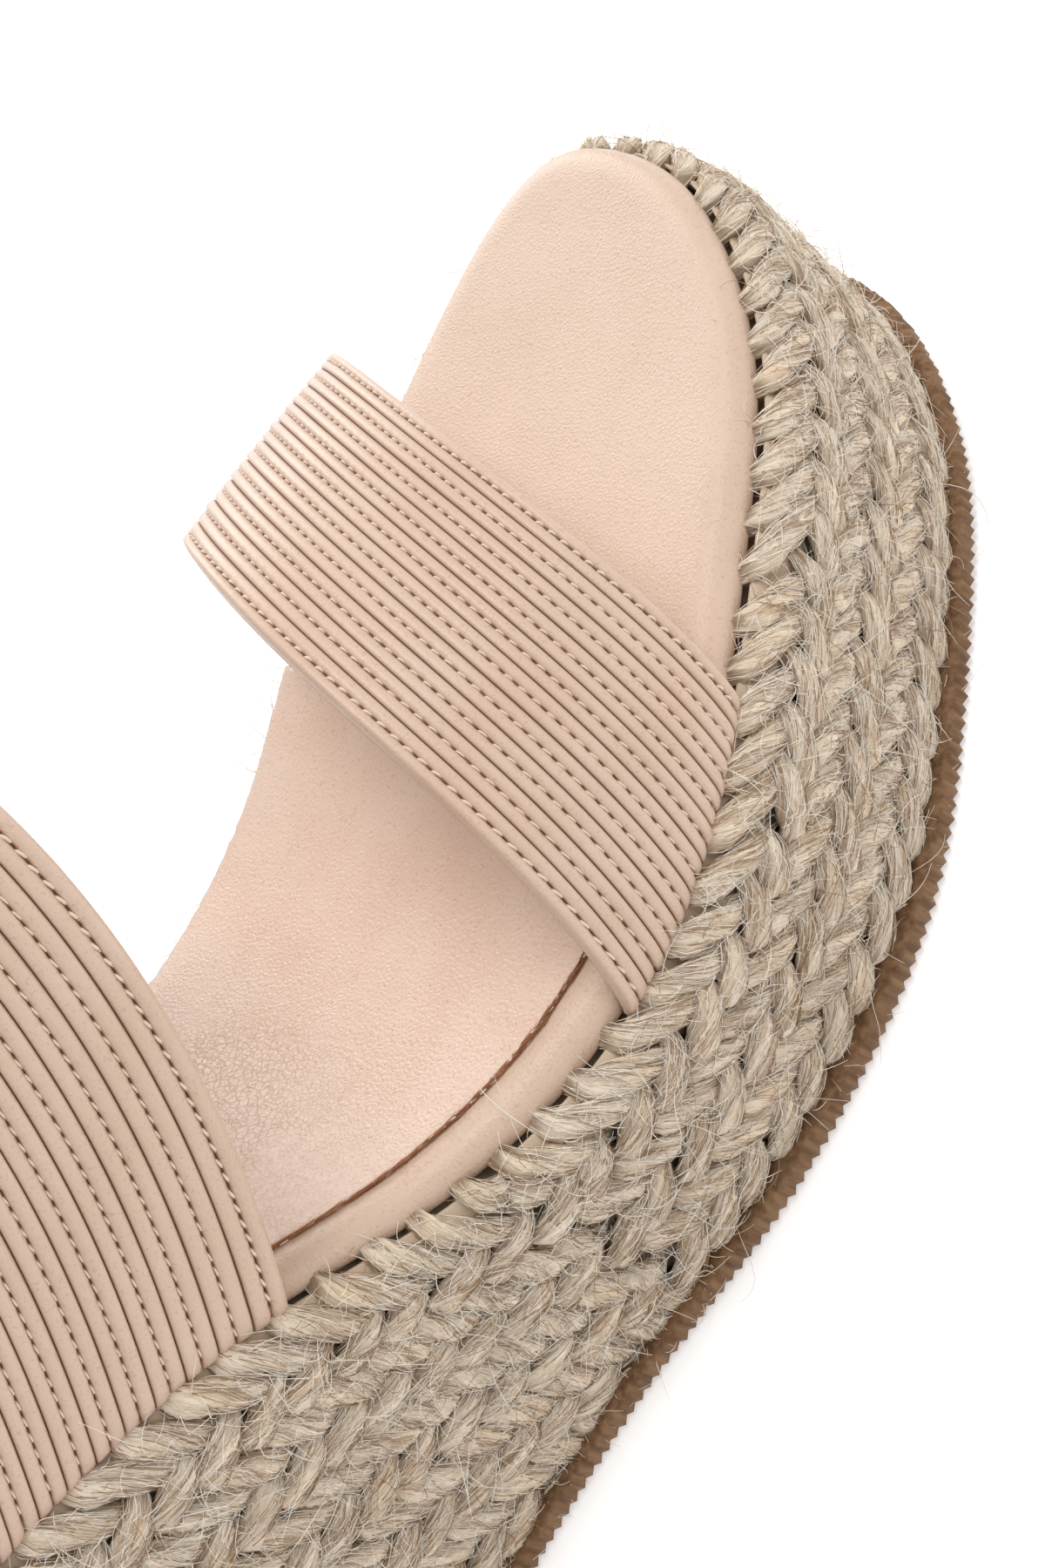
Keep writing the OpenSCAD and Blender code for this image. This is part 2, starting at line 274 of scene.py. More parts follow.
def ramp(tree, source, stops):
    node = node_of(tree, "ShaderNodeValToRGB")
    for k, (place, color) in enumerate(stops):
        stop = node.color_ramp.elements[k] if k < 2 else node.color_ramp.elements.new(place)
        stop.position = place
        stop.color = (*color, 1)
    tree.links.new(source, node.inputs["Fac"])
    return node.outputs["Color"]


def noise(tree, scale, detail=3.0, vector=None, roughness=0.5):
    node = node_of(tree, "ShaderNodeTexNoise")
    node.inputs["Scale"].default_value = scale
    node.inputs["Detail"].default_value = detail
    node.inputs["Roughness"].default_value = roughness
    if vector is not None:
        tree.links.new(vector, node.inputs["Vector"])
    return node.outputs["Fac"]


def math_node(tree, operation, a, b):
    node = node_of(tree, "ShaderNodeMath", operation=operation)
    for k, value in enumerate((a, b)):
        if isinstance(value, (int, float)):
            node.inputs[k].default_value = value
        else:
            tree.links.new(value, node.inputs[k])
    return node.outputs[0]


def blend(tree, mode, factor, a, b):
    node = node_of(tree, "ShaderNodeMix", data_type="RGBA", blend_type=mode)
    for socket, value in ((0, factor), (6, a), (7, b)):
        if isinstance(value, tuple):
            node.inputs[socket].default_value = (*value, 1)
        elif isinstance(value, (int, float)):
            node.inputs[socket].default_value = value
        else:
            tree.links.new(value, node.inputs[socket])
    return node.outputs[2]


def bump(tree, height, strength, distance, under=None):
    node = node_of(tree, "ShaderNodeBump")
    node.inputs["Strength"].default_value = strength
    node.inputs["Distance"].default_value = distance
    tree.links.new(height, node.inputs["Height"])
    if under is not None:
        tree.links.new(under, node.inputs["Normal"])
    return node.outputs["Normal"]


CRACKLE_AT = (-0.001, -0.023, 0.042)


def leather(name, color, deep, pale, grain=1500.0, roughness=0.42, strength=0.5, crackle=0.0, painted_fold_shade=False):
    """Fine-grained satin faux leather."""
    mat = material(name, color, roughness, Specular_IOR_Level=0.45, Sheen_Weight=0.12, Sheen_Roughness=0.4)
    tree = mat.node_tree
    bsdf = tree.nodes["Principled BSDF"]
    place = node_of(tree, "ShaderNodeTexCoord").outputs["Object"]
    cloud = noise(tree, 70, 4, place)
    base = ramp(tree, cloud, [(0.3, deep), (0.7, pale)])
    cells = node_of(tree, "ShaderNodeTexVoronoi", feature="DISTANCE_TO_EDGE")
    cells.inputs["Scale"].default_value = grain
    tree.links.new(place, cells.inputs["Vector"])
    pebbles = math_node(tree, "MINIMUM", cells.outputs["Distance"], 0.35)
    fine = noise(tree, grain * 1.3, 2, place)
    relief = math_node(tree, "ADD", pebbles, math_node(tree, "MULTIPLY", fine, 0.35))
    normal = bump(tree, relief, strength, 0.0002)
    speck = ramp(tree, fine, [(0.3, (0.62, 0.45, 0.36)), (0.42, (1, 1, 1))])
    base = blend(tree, "MULTIPLY", 0.3, base, speck)
    # Painted shade: the 'fold' attribute darkens the ribs' folds and seam grooves, most between stitches.
    if painted_fold_shade:
        depth = node_of(tree, "ShaderNodeAttribute", attribute_name="fold").outputs["Fac"]
        shadow = ramp(tree, depth, [(0.0, (1, 1, 1)), (1.0, (0.42, 0.27, 0.19))])
        base = blend(tree, "MULTIPLY", 1.0, base, shadow)
    if crackle:
        cracks = node_of(tree, "ShaderNodeTexVoronoi", feature="DISTANCE_TO_EDGE")
        cracks.inputs["Scale"].default_value = 850
        cracks.inputs["Randomness"].default_value = 1
        tree.links.new(place, cracks.inputs["Vector"])
        line = ramp(tree, cracks.outputs["Distance"], [(0.0, (0, 0, 0)), (0.07, (1, 1, 1))])
        away = node_of(tree, "ShaderNodeVectorMath", operation="DISTANCE")
        away.inputs[1].default_value = CRACKLE_AT
        tree.links.new(place, away.inputs[0])
        wander = math_node(tree, "MULTIPLY", noise(tree, 90, 3, place), 0.03)
        ragged = math_node(tree, "ADD", wander, away.outputs["Value"])
        patch = ramp(tree, ragged, [(0.026, (1, 1, 1)), (0.036, (0, 0, 0))])
        line = blend(tree, "MIX", patch, (1.0, 1.0, 1.0), line)
        normal = bump(tree, line, crackle, 0.00025, normal)
    tree.links.new(base, bsdf.inputs["Base Color"])
    tree.links.new(normal, bsdf.inputs["Normal"])
    rough = math_node(tree, "ADD", math_node(tree, "MULTIPLY", cloud, 0.16), roughness - 0.08)
    tree.links.new(rough, bsdf.inputs["Roughness"])
    return mat


def jute_material():
    mat = material("jute_strand", (0.6, 0.5, 0.38), 0.8, Specular_IOR_Level=0.25, Sheen_Weight=0.15)
    tree = mat.node_tree
    bsdf = tree.nodes["Principled BSDF"]
    uv = node_of(tree, "ShaderNodeUVMap", uv_map="along").outputs["UV"]
    stretch = node_of(tree, "ShaderNodeMapping")
    stretch.inputs["Scale"].default_value = (0.16, 3.4, 1.0)
    tree.links.new(uv, stretch.inputs["Vector"])
    fibre = noise(tree, 1.4, 4, stretch.outputs["Vector"], 0.7)
    hue = noise(tree, 0.12, 2, uv)
    tones = [(0.31, (0.36, 0.24, 0.15)), (0.41, (0.76, 0.61, 0.46)), (0.5, (0.92, 0.78, 0.62)),
             (0.68, (1.0, 0.91, 0.77))]
    base = ramp(tree, fibre, tones)
    tint = ramp(tree, hue, [(0.3, (1.0, 0.91, 0.8)), (0.55, (1, 1, 1))])
    base = blend(tree, "MULTIPLY", 0.8, base, tint)
    # Painted shade: the 'shade' attribute darkens the strands' yarn grooves, inward sides and tucked ends,
    # and the backing.
    deep = node_of(tree, "ShaderNodeAttribute", attribute_name="shade").outputs["Fac"]
    dark = ramp(tree, deep, [(0.1, (0.22, 0.14, 0.08)), (0.55, (1, 1, 1))])
    base = blend(tree, "MULTIPLY", 0.7, base, dark)
    tree.links.new(base, bsdf.inputs["Base Color"])
    tree.links.new(bump(tree, fibre, 0.8, 0.0003), bsdf.inputs["Normal"])
    return mat


def rubber_material():
    mat = material("gum_rubber", (0.22, 0.12, 0.06), 0.55, Specular_IOR_Level=0.25)
    tree = mat.node_tree
    bsdf = tree.nodes["Principled BSDF"]
    place = node_of(tree, "ShaderNodeTexCoord").outputs["Object"]
    stretch = node_of(tree, "ShaderNodeMapping")
    stretch.inputs["Scale"].default_value = (1, 1, 0.12)
    tree.links.new(place, stretch.inputs["Vector"])
    streak = noise(tree, 900, 4, stretch.outputs["Vector"])
    base = ramp(tree, streak, [(0.3, (0.135, 0.066, 0.03)), (0.7, (0.30, 0.175, 0.09))])
    tree.links.new(base, bsdf.inputs["Base Color"])
    tree.links.new(bump(tree, streak, 0.3, 0.0002), bsdf.inputs["Normal"])
    return mat


COVER = leather("cover_leather", (0.69, 0.51, 0.39), (0.67, 0.49, 0.37), (0.71, 0.53, 0.41), roughness=0.38)
SOCK = leather("sock_leather", (0.76, 0.565, 0.45), (0.74, 0.53, 0.415), (0.785, 0.60, 0.485), grain=1300,
               roughness=0.34, strength=0.7, crackle=0.4)
STRAP = leather("strap_leather", (0.67, 0.49, 0.375), (0.65, 0.465, 0.35), (0.69, 0.515, 0.40), grain=1900,
                roughness=0.36, strength=0.3, painted_fold_shade=True)
LINING = leather("lining_leather", (0.66, 0.50, 0.39), (0.62, 0.46, 0.35), (0.7, 0.54, 0.43), roughness=0.6)
JUTE = jute_material()
RUBBER = rubber_material()
THREAD = material("thread", (0.80, 0.62, 0.49), 0.5, Sheen_Weight=0.3)
RAW_EDGE = material("raw_edge", (0.40, 0.17, 0.075), 0.7)
FOAM = leather("core_foam", (0.50, 0.42, 0.32), (0.46, 0.38, 0.28), (0.54, 0.46, 0.36), grain=600,
               roughness=0.85)
FIBRES = [
    material("fibre_pale", (0.95, 0.88, 0.77), 0.6, Sheen_Weight=0.2),
    material("fibre_mid", (0.84, 0.71, 0.56), 0.7, Sheen_Weight=0.2),
    material("fibre_dark", (0.42, 0.27, 0.15), 0.7),
]

# ---------------------------------------------------------------- jute plaits
LIMB_WIDE, LIMB_THICK = 2.15, 1.25
LIMB_SIDES, LIMB_RINGS = 34, 13
LIMB_ANGLE = math.radians(36)
LIMB_OVERRUN = 1.5
RIM_ANGLE_LESS, RIM_WIDE_SHARE = 0.09, 0.88
LIMB_TWIST = TURN / 24
PLAIT_PITCH = 6.7
PLAIT_MID, PLAIT_FLARE = 3.1, 0.4


def row_line(row):
    """Centre line of a plaited row: points, outward normals, ups, lengths, half height."""
    closed = row < 3
    u = np.linspace(-TURNS / 2, TURNS / 2, 6001)
    p = edge(u, np.full(u.shape, 0.6))
    if not closed:
        keep = (wall(p[:, 1]) - row_drop(p[:, 1], row) > 0.6) & (p[:, 1] < 0)
        u, p = u[keep], p[keep]
    y = p[:, 1]
    drop = (row_drop(y, row) + row_drop(y, row + 1)) / 2
    line = np.column_stack([p, footbed(y) - RIM_DROP - 0.1 - drop])
    normal = np.column_stack([plan_normal(u), np.zeros(len(u))])
    tangent = unit(np.gradient(line, axis=0))
    up = unit(np.cross(normal, tangent))
    length = np.concatenate([[0], np.cumsum(np.linalg.norm(np.diff(line, axis=0), axis=1))])
    half = (row_drop(y, row + 1) - row_drop(y, row)) / 2 * np.abs(up[:, 2])
    tall = wall(y)
    return dict(
        line=line, normal=normal, up=up, s=length, half=half, share=drop / tall, tall=tall, closed=closed
    )


def along(track, s, *keys):
    """Values of a track at lengths s."""
    if track["closed"]:
        s = np.mod(s, track["s"][-1])
    out = []
    for key in keys:
        data = track[key]
        if data.ndim == 1:
            out.append(np.interp(s, track["s"], data))
        else:
            out.append(np.stack([np.interp(s, track["s"], data[:, i]) for i in range(data.shape[1])], -1))
    return out


def plait_limbs(row, track):
    """The strands' visible crossings: each runs from an edge of the row to just past its middle."""
    total = track["s"][-1]
    pairs = max(1, round(total / PLAIT_PITCH))
    pitch = total / pairs
    index = np.arange(2 * pairs)
    hand = np.where(index % 2 == 0, 1.0, -1.0)
    count = len(index)
    limbs = dict(
        track=track, hand=hand, row=row,
        s0=index * pitch / 2 + rng.normal(0, 0.12, count),
        angle=LIMB_ANGLE + rng.normal(0, 0.035, count),
        wide=LIMB_WIDE * rng.uniform(0.93, 1.1, count),
        thick=LIMB_THICK * rng.uniform(0.9, 1.1, count),
        rise=rng.normal(0, 0.1, count),
        roll=rng.uniform(0, TURN, count),
        seed=rng.uniform(0, 100, count),
    )
    if row == 0:
        limbs["angle"][hand > 0] -= RIM_ANGLE_LESS
        limbs["wide"][hand > 0] *= RIM_WIDE_SHARE
    if not track["closed"]:
        middle, half = along(track, limbs["s0"] + 4, "line", "half")
        above = middle[:, 2] + half * 1.1 > SOLE_TOP + spring(middle[:, 1])
        limbs = {k: v[above] if isinstance(v, np.ndarray) else v for k, v in limbs.items()}
    return limbs


def limb_frame(limbs, pick, t):
    """Centre line and frame of picked limbs at shares t of their length."""
    track, hand, angle = limbs["track"], limbs["hand"][pick][:, None], limbs["angle"][pick][:, None]
    s0 = limbs["s0"][pick][:, None]
    (half,) = along(track, s0 + 4, "half")
    reach = (half + LIMB_OVERRUN) / np.sin(angle)
    top = (hand > 0) & (limbs["row"] == 0)
    trim = np.where(top, -0.1, 0.2)
    out = []
    for shift in (-0.01, 0, 0.01):
        u = t + shift
        s = s0 + reach * np.cos(angle) * u
        line, normal, up, share, tall = along(track, s, "line", "normal", "up", "share", "tall")
        run = 0.75 * u + 0.25 * u * np.abs(u)
        across = hand * (half + trim - (reach * np.sin(angle) + np.minimum(trim, 0)) * run)
        lift = 1.15 - 3.2 * np.clip(1 - u / 0.2, 0, 1.1) ** 2 - 1.9 * smooth(0.5, 1.08, u) ** 1.3
        depth = PLAIT_MID + PLAIT_FLARE * (share - across / tall) + lift - 0.4 + limbs["rise"][pick][:, None]
        face = normal
        if limbs["row"] == 0:
            tuck = smooth(-1.0, 5.6, across)
            across = across + 0.9 * tuck
            depth = depth - 2.0 * tuck
            face = unit(normal + up * (0.6 * tuck)[..., None])
        out.append(line + up * across[..., None] + normal * depth[..., None])
        if shift == 0:
            middle = face
    tangent = unit(out[2] - out[0])
    outward = unit(middle - tangent * np.sum(middle * tangent, -1, keepdims=True))
    return out[1], np.cross(tangent, outward), outward, reach, lift


def ridges(psi, along_limb, seed):
    """Yarns and fibre grooves round a strand."""
    yarn = -0.24 * np.abs(np.sin(2 * psi + 0.3 * np.sin(along_limb / 3 + seed))) ** 0.8
    bundles = -0.13 * np.abs(np.sin(5.5 * psi + 0.8 * np.sin(along_limb / 2.3 + seed * 2.0))) ** 0.7
    slow = 0.05 * np.sin(along_limb / 1.9 + seed * 3.0)
    return 1.16 + yarn + bundles + slow


def section(phi, power=0.82):
    """Flattened round section."""
    wide, thick = np.cos(phi), np.sin(phi)
    return np.sign(wide) * np.abs(wide) ** power, np.sign(thick) * np.abs(thick) ** power


def floor_clamp(points):
    """What a trimmed row loses lies inside the outsole."""
    lowest = spring(points[..., 1]) + SOLE - 1.6
    points[..., 2] = np.maximum(points[..., 2], lowest)
    return points


def limb_spot(limbs, pick, t, phi, swell=1.0):
    """Points on picked limbs' surfaces."""
    line, side, outward, _, _ = limb_frame(limbs, pick, t)
    wide, thick = section(phi)
    taper = limb_taper(t)
    wide = limbs["wide"][pick][:, None] * taper * swell * wide
    thick = limbs["thick"][pick][:, None] * np.sqrt(taper) * swell * thick
    return line + side * wide[..., None] + outward * thick[..., None]


def limb_taper(t):
    return 1 - 0.25 * smooth(0.14, -0.02, t) - 0.5 * smooth(0.62, 1.02, t)


def plait(row):
    """One plaited row: every visible crossing as a closed twisted strand, over a backing darkened with
    painted shade.
    """
    track = row_line(row)
    limbs = plait_limbs(row, track)
    count = len(limbs["hand"])
    t = np.linspace(0, 1, LIMB_RINGS)[None] ** 1.35
    pick = np.arange(count)
    line, side, outward, reach, lift = limb_frame(limbs, pick, np.broadcast_to(t, (count, LIMB_RINGS)))
    phi = np.arange(LIMB_SIDES) / LIMB_SIDES * TURN
    wide, thick = section(phi)
    run = (reach * t)[..., None]
    psi = phi + LIMB_TWIST * run + limbs["roll"][:, None, None]
    r = ridges(psi, run, limbs["seed"][:, None, None])
    taper = limb_taper(t)[..., None]
    rings = (
        line[:, :, None]
        + side[:, :, None] * (limbs["wide"][:, None, None] * r * taper * wide)[..., None]
        + outward[:, :, None] * (limbs["thick"][:, None, None] * r * np.sqrt(taper) * thick)[..., None]
    )
    rings = floor_clamp(rings)
    body = grid_faces(LIMB_RINGS, LIMB_SIDES, wrap_cols=True)
    start = (np.arange(count) * LIMB_RINGS * LIMB_SIDES)[:, None, None]
    walls = (body[None] + start).reshape(-1, 4)
    lid = np.arange(LIMB_SIDES)[None]
    both = np.concatenate([lid[:, ::-1], lid + (LIMB_RINGS - 1) * LIMB_SIDES])
    lids = (both[None] + start).reshape(-1, LIMB_SIDES)
    # Painted shade: strands darker in their yarn grooves, on their inward side and where they tuck under a
    # crossing.
    lie = np.broadcast_to(lift, (count, LIMB_RINGS))[..., None] + 0.8 * thick
    shade = 0.55 * smooth(0.84, 1.1, r) + 0.45 * smooth(-0.5, 1.3, lie)
    uv = np.stack([np.broadcast_to(run + limbs["seed"][:, None, None] * 9, r.shape), psi * LIMB_WIDE], -1)
    backing, backing_faces = row_backing(row, track)
    first = rings.shape[0] * rings.shape[1] * rings.shape[2]
    points = np.concatenate([rings.reshape(-1, 3), backing])
    mesh_piece(
        f"jute_row_{row + 1}", points, [walls, lids, backing_faces + first], JUTE,
        nodes=[f"braid_{row + 1}"],
        # The backing gets a flat painted shade of 0.3.
        attrs={"shade": np.concatenate([shade.ravel(), np.full(len(backing), 0.3)])},
        uv=np.concatenate([uv.reshape(-1, 2), np.zeros((len(backing), 2))]),
    )
    return limbs


def row_backing(row, track):
    """Band of hidden strands behind the visible crossings, given a flat painted shade in plait."""
    total = track["s"][-1]
    s = np.linspace(0, total, int(total / 3), endpoint=not track["closed"])
    line, normal, up, half, share, tall = along(track, s, "line", "normal", "up", "half", "share", "tall")
    rings = []
    top = 1.06 if row == 0 else 0.98
    for across, depth in ((top, 0.1), (top, 1.1), (0.3, 2.1), (-0.98, 1.6), (-0.98, 0.3)):
        if depth > 0.5:
            under_rim = 0.6 if row == 0 and across > 0.5 else 0
            depth = depth + PLAIT_FLARE * (share - across * half / tall) - under_rim
        rings.append(line + up * (across * half)[:, None] + normal * (depth + 0 * half)[:, None])
    points = floor_clamp(np.stack(rings, 1))
    faces = grid_faces(len(s), 5, wrap_rows=track["closed"], wrap_cols=True)
    return points.reshape(-1, 3), faces


def lying_fibres(limbs, count):
    """Fibres that follow a strand's surface."""
    pick = rng.integers(0, len(limbs["hand"]), count)
    steps = np.linspace(0, 1, 6)[None]
    t0 = rng.uniform(-0.05, 0.75, count)[:, None]
    reach = rng.uniform(0.25, 0.75, count)[:, None]
    phi0 = rng.uniform(0.15, math.pi + 0.35, count)[:, None]
    drift = rng.normal(0, 0.5, count)[:, None] - LIMB_TWIST * reach * 9
    bow = rng.uniform(0, 0.14, count)[:, None]
    swell = 1.02 + bow * np.sin(math.pi * steps) + rng.uniform(-0.04, 0.06, count)[:, None]
    t = np.clip(t0 + reach * steps, 0, 1.1)
    return floor_clamp(limb_spot(limbs, pick, t, phi0 + drift * steps, swell))


def loose_fibres(limbs, count):
    """Fuzz: fibres that leave a strand and curl away."""
    pick = rng.integers(0, len(limbs["hand"]), count)
    t0 = rng.uniform(0, 0.85, count)[:, None]
    phi0 = rng.uniform(0.3, math.pi - 0.3, count)[:, None]
    start = limb_spot(limbs, pick, t0, phi0, 1.0)[:, 0]
    _, side, outward, _, _ = limb_frame(limbs, pick, t0)
    side, outward = side[:, 0], outward[:, 0]
    tangent = np.cross(side, outward)
    lean = rng.uniform(0.05, 0.75, (count, 1)) ** 1.3
    onward = tangent * rng.normal(0, 1.0, (count, 1))
    aim = unit(onward + side * rng.normal(0, 0.9, (count, 1)) + outward * lean)
    curl = unit(rng.normal(0, 1, (count, 3)) - outward * 0.9)
    swirl = unit(np.cross(aim, curl))
    reach = rng.gamma(2.4, 1.1, count)[:, None, None] + 1.0
    t = np.linspace(0, 1, 7)[None, :, None]
    path = (
        start[:, None] + aim[:, None] * reach * t
        + curl[:, None] * reach * rng.uniform(0.1, 0.6, (count, 1, 1)) * t**2
        + swirl[:, None] * reach * rng.normal(0, 0.16, (count, 1, 1)) * np.sin(math.pi * t)
    )
    return floor_clamp(path)


FIBRE_PIECES = [(0, 0.06, 7600, 0.42), (1, 0.06, 4600, 0.25), (2, 0.055, 5200, 0.15)]


def make_jute():
    rows = [plait(row) for row in range(ROW_COUNT)]
    groups = {"top": (0,), "second": (1,), "third": (2,), "heel": (3, 4, 5)}
    for label, members in groups.items():
        share = sum(len(rows[m]["hand"]) for m in members) / len(rows[0]["hand"])
        for tone, radius, count, loose in FIBRE_PIECES:
            for kind, make, part in (("lying", lying_fibres, 1 - loose), ("loose", loose_fibres, loose)):
                total = sum(len(rows[k]["hand"]) for k in members)
                paths = np.concatenate([
                    make(rows[m], int(count * share * part * len(rows[m]["hand"]) / total)) for m in members
                ])
                taper = radius * (1 - 0.5 * np.linspace(0, 1, paths.shape[1]) ** 2)[None]
                points, faces = tubes(paths, taper * rng.uniform(0.7, 1.2, (len(paths), 1)))
                mesh_piece(f"jute_{kind}_{label}_{tone + 1}", points, faces, FIBRES[tone])


# ---------------------------------------------------------------- straps
LINING_T, TAPE_T, LEATHER_T, LAYER_GAP = 0.8, 0.3, 0.8, 0.1
LEATHER_BASE = LINING_T + TAPE_T + 2 * LAYER_GAP
STRAPS = {
    "front": dict(base=(49.5, 11), rise=(30, 43), lean=(4.5, 9), slant=0.36, skew=0.08, bias=0, ribs=20),
    "rear": dict(base=(-34.7, -80), rise=(64, 68), lean=(38, 43), slant=0.1, skew=-0.3, bias=0.06, ribs=24),
}
STAND = 0.35
ARCH_POWER = 0.93


def arch(shape, a, v):
    """Inner face of a strap: a runs 0 to pi over the foot, v from toe edge to back edge."""
    a, v = np.broadcast_arrays(np.asarray(a, float), np.asarray(v, float))
    y_base = mix(shape["base"][0], shape["base"][1], v) * UNIT
    x_lat = np.interp(y_base, *LATERAL_EDGE) + STAND
    y_far = y_base + shape["slant"] * (x_lat + 34)
    x_med = np.interp(y_far, *MEDIAL_EDGE) - STAND
    z_base = mix(footbed(y_base), footbed(y_far), (1 - np.cos(a)) / 2) - RIM_DROP + 0.4
    rise = mix(shape["rise"][0], shape["rise"][1], v) - LEATHER_BASE - LEATHER_T
    c = np.sign(np.cos(a)) * np.abs(np.cos(a)) ** ARCH_POWER
    s = np.maximum(np.sin(a), 0) ** ARCH_POWER
    x = (x_lat + x_med) / 2 + c * (x_lat - x_med) / 2
    lean = mix(shape["lean"][0], shape["lean"][1], v) * (1 + shape["bias"] * c)
    y = y_base + shape["slant"] * (x_lat - x) + lean * s * (2 - s)
    return np.stack([x, y, z_base + rise * s * (1 - shape["skew"] * c)], -1)


def strap_frame(shape, a, v):
    da = arch(shape, np.minimum(a + 0.01, math.pi), v) - arch(shape, np.maximum(a - 0.01, 0), v)
    dv = arch(shape, a, np.minimum(v + 0.01, 1)) - arch(shape, a, np.maximum(v - 0.01, 0))
    return arch(shape, a, v), unit(np.cross(da, dv)), unit(da), unit(dv)


def strap_point(shape, a, v, t):
    p, n, _, _ = strap_frame(shape, a, v)
    return p + n * np.asarray(t)[..., None]


def arc_table(shape):
    a = np.linspace(0, math.pi, 721)
    p = arch(shape, a, np.full(a.shape, 0.5))
    return np.concatenate([[0], np.cumsum(np.linalg.norm(np.diff(p, axis=0), axis=1))]), a


def margin(shape, side, v, reach, drop):
    """Turned-in end of a strap, under the footbed."""
    p = arch(shape, np.full(v.shape, 0.0 if side > 0 else math.pi), v)
    near = np.interp(p[:, 1], *(LATERAL_EDGE if side > 0 else MEDIAL_EDGE))
    return np.column_stack([near + side * reach, p[:, 1], footbed(p[:, 1]) - drop])


RIB_HEIGHT = 1.0
STITCH_PITCH = 2.1
STITCH_SHARE = 0.55
END_ROUND = 3.5


def stitched(k):
    return k % 2 == 1


def gap_share(s, k):
    """1 between two stitches, 0 under a stitch, along a stitched groove."""
    phase = (s / STITCH_PITCH + 0.37 * k) % 1
    return smooth(STITCH_SHARE, STITCH_SHARE + 0.12, phase) * smooth(1.0, 0.9, phase)


def rib_relief(shape, v, s):
    """Height of the folded ribs over the strap's flat, and how deep in a fold each point is, for painted
    shade.
    """
    n = shape["ribs"]
    q = v * n
    k = np.minimum(np.floor(q), n - 1)
    x = q - k
    wander = 0.02 * np.sin(s / 7.3 + k * 2.1) + 0.012 * np.sin(s / 3.1 + k * 4.7)
    x = np.clip(x + wander * (4 * x * (1 - x)), 0, 1)
    flank = np.abs(2 * x - 1)
    body = (1 - flank**7) ** 0.5 * (0.84 + 0.16 * (1 - flank**2)) * (1 + 0.16 * (x - 0.5))
    seam_after = stitched(k + 1)
    to_seam = np.where(seam_after, 1 - x, x)
    to_fold = np.where(seam_after, x, 1 - x)
    gap = gap_share(s, np.where(seam_after, k + 1, k))
    pinch = smooth(0.42, 0.0, to_seam) * (0.10 + 0.16 * gap)
    tone = 1 + 0.06 * np.sin(k * 2.4 + 1) + 0.04 * np.sin(s / 17 + k * 1.7)
    outside = (q < 0.5) | (q > n - 0.5)
    # Painted shade amount: darkest at the folds and seam grooves, more between stitches than under them.
    fold = np.maximum(smooth(0.085, 0.0, to_fold), smooth(0.12, 0.02, to_seam) * (0.35 + 0.65 * gap))
    return RIB_HEIGHT * body * (1 - pinch) * tone, np.where(outside, 0, fold)


def strap(label):
    shape = STRAPS[label]
    lengths, angles = arc_table(shape)
    total = lengths[-1]
    rows = int(total / 0.4)
    s = np.linspace(0, total, rows)
    a = np.interp(s, lengths, angles)
    inside = 0.5 - 0.5 * np.cos(math.pi * np.arange(12) / 12)
    v = np.append((np.arange(shape["ribs"])[:, None] + inside).ravel(), shape["ribs"]) / shape["ribs"]
    aa, vv = np.meshgrid(a, v, indexing="ij")
    ss = np.broadcast_to(s[:, None], aa.shape)
    from_end = np.minimum(ss, total - ss)
    dome = np.sqrt(1 - (1 - np.clip(from_end / END_ROUND, 0, 1)) ** 2)
    flat = LEATHER_BASE + 0.25
    edge_fold = np.minimum(v, 1 - v) * shape["ribs"] * 2.1
    sink = 1.1 * (1 - np.sqrt(np.clip(1 - (1 - np.clip(edge_fold / 0.9, 0, 1)) ** 2, 0, 1)))
    relief, fold = rib_relief(shape, vv, ss)
    outer_t = flat + relief * (0.25 + 0.75 * dome) - sink[None] - 0.9 * (1 - dome)
    outer = strap_point(shape, aa, vv, outer_t)
    inner_v = np.linspace(1, 0, 25)
    ia, iv = np.meshgrid(a, inner_v, indexing="ij")
    inner = strap_point(shape, ia, iv, np.full(ia.shape, LINING_T + 0.05))
    body = np.concatenate([outer, inner], 1)
    ends = []
    for side in (1, -1):
        far = np.concatenate([margin(shape, side, v, -6, 6.7), margin(shape, side, inner_v, -6, 6.1)])
        near = np.concatenate([margin(shape, side, v, 0.9, 6.6), margin(shape, side, inner_v, 0.6, 6.1)])
        ends.append([far, near])
    loops = np.stack([ends[0][0], ends[0][1], *body, ends[1][1], ends[1][0]])
    points = loops.reshape(-1, 3)
    k = loops.shape[1]
    # Painted shade in the folds, read by the strap leather's colour.
    painted_fold_shade = np.zeros(loops.shape[:2])
    painted_fold_shade[2:-2, : len(v)] = fold
    faces = grid_faces(len(loops), k, wrap_cols=True)
    piece = mesh_piece(
        f"{label}_strap_leather", points, faces, STRAP,
        nodes=[f"{label}_strap", f"{label}_tape"], attrs={"fold": painted_fold_shade},
    )
    lining(label, shape, a)
    stitches(label, shape, lengths, angles)
    return piece


